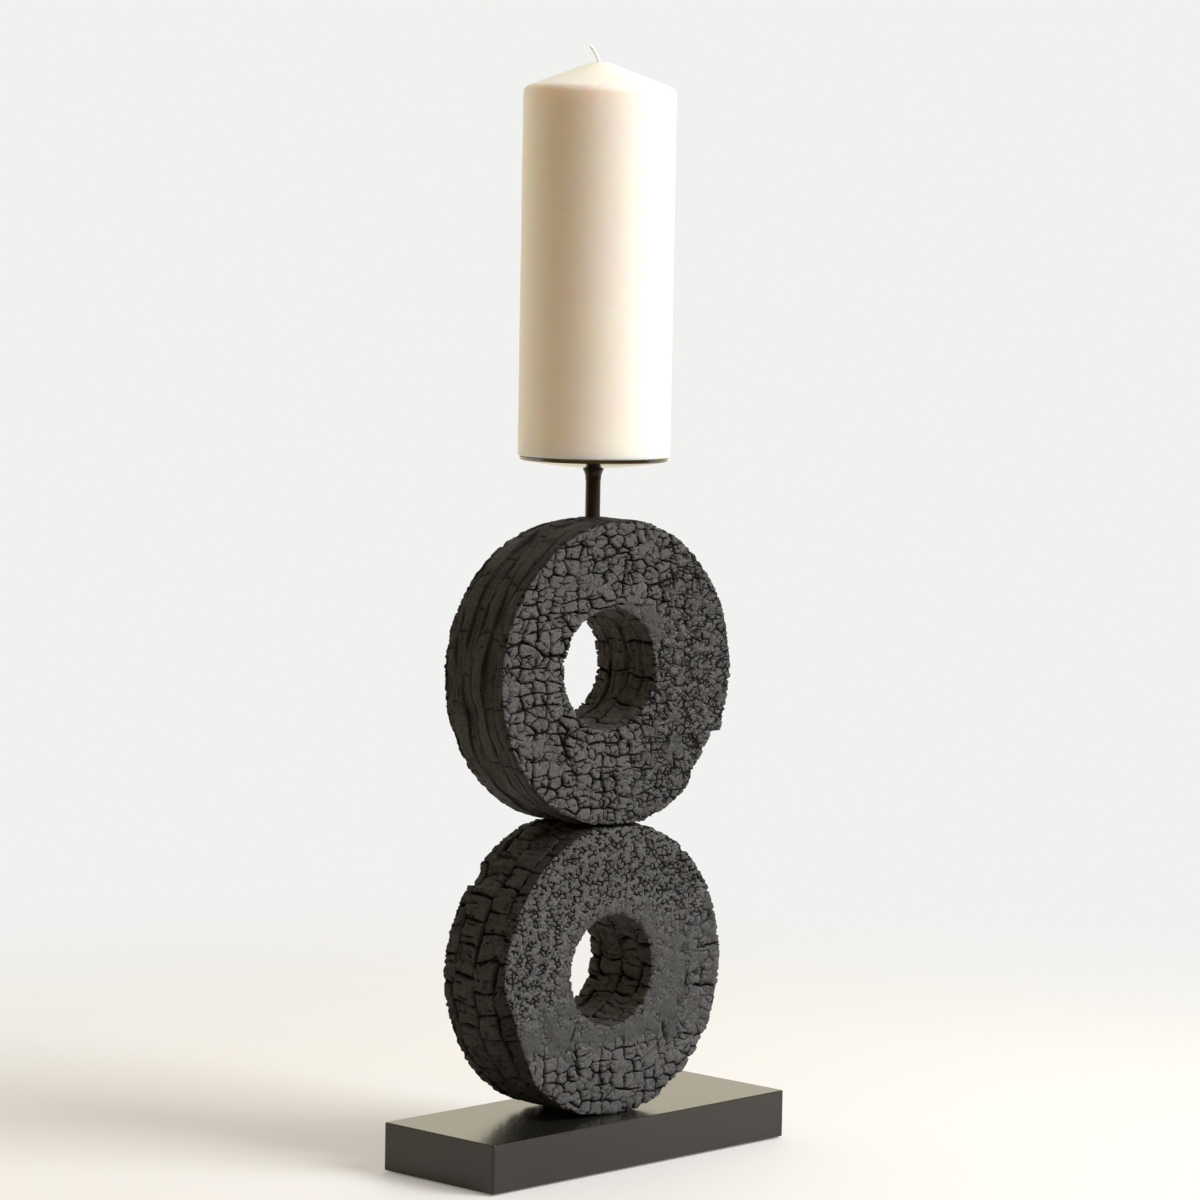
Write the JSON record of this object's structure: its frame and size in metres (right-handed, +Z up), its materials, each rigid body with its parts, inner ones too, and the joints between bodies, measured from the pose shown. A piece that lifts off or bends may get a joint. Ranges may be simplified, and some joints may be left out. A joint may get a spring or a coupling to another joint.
{
  "type": "pillar candle holder",
  "caption": "Stacked charred-wood rings on a black plinth, with a short stem, dished pan and spike that carry a pillar candle.",
  "frame": {"origin": "centre of the plinth's footprint, on the surface it stands on", "axes": "+X along the plinth and across the faces of the rings, -Y the front, +Z up"},
  "size_m": [0.212, 0.077, 0.5586],
  "materials": {
    "felt": "thin black felt, glued under the plinth",
    "plinth_paint": "satin black paint on wood",
    "zinc_steel": "zinc plated",
    "charred_wood": "deeply cracked charcoal surface, matt",
    "beech": "plain beech",
    "brass": "turned brass",
    "black_steel": "satin black powder coat",
    "wax": "smooth ivory wax",
    "cotton": "waxed braided cotton"
  },
  "bodies": {
    "holder": {"base_felt": "felt", "base_plinth": "plinth_paint", "base_screws": "zinc_steel", "lower_ring": "charred_wood", "ring_dowels": "beech", "upper_ring": "charred_wood", "stem_insert": "brass", "stem": "black_steel", "stem_collar": "black_steel", "candle_pan": "black_steel", "candle_spike": "black_steel"},
    "candle": {"candle": "wax", "wick": "cotton"}
  },
  "joints": [
    {"name": "candle_lift", "type": "slide", "parent": "holder", "child": "candle", "axis": [0, 0, 1], "range_m": [0, 0.06]}
  ]
}
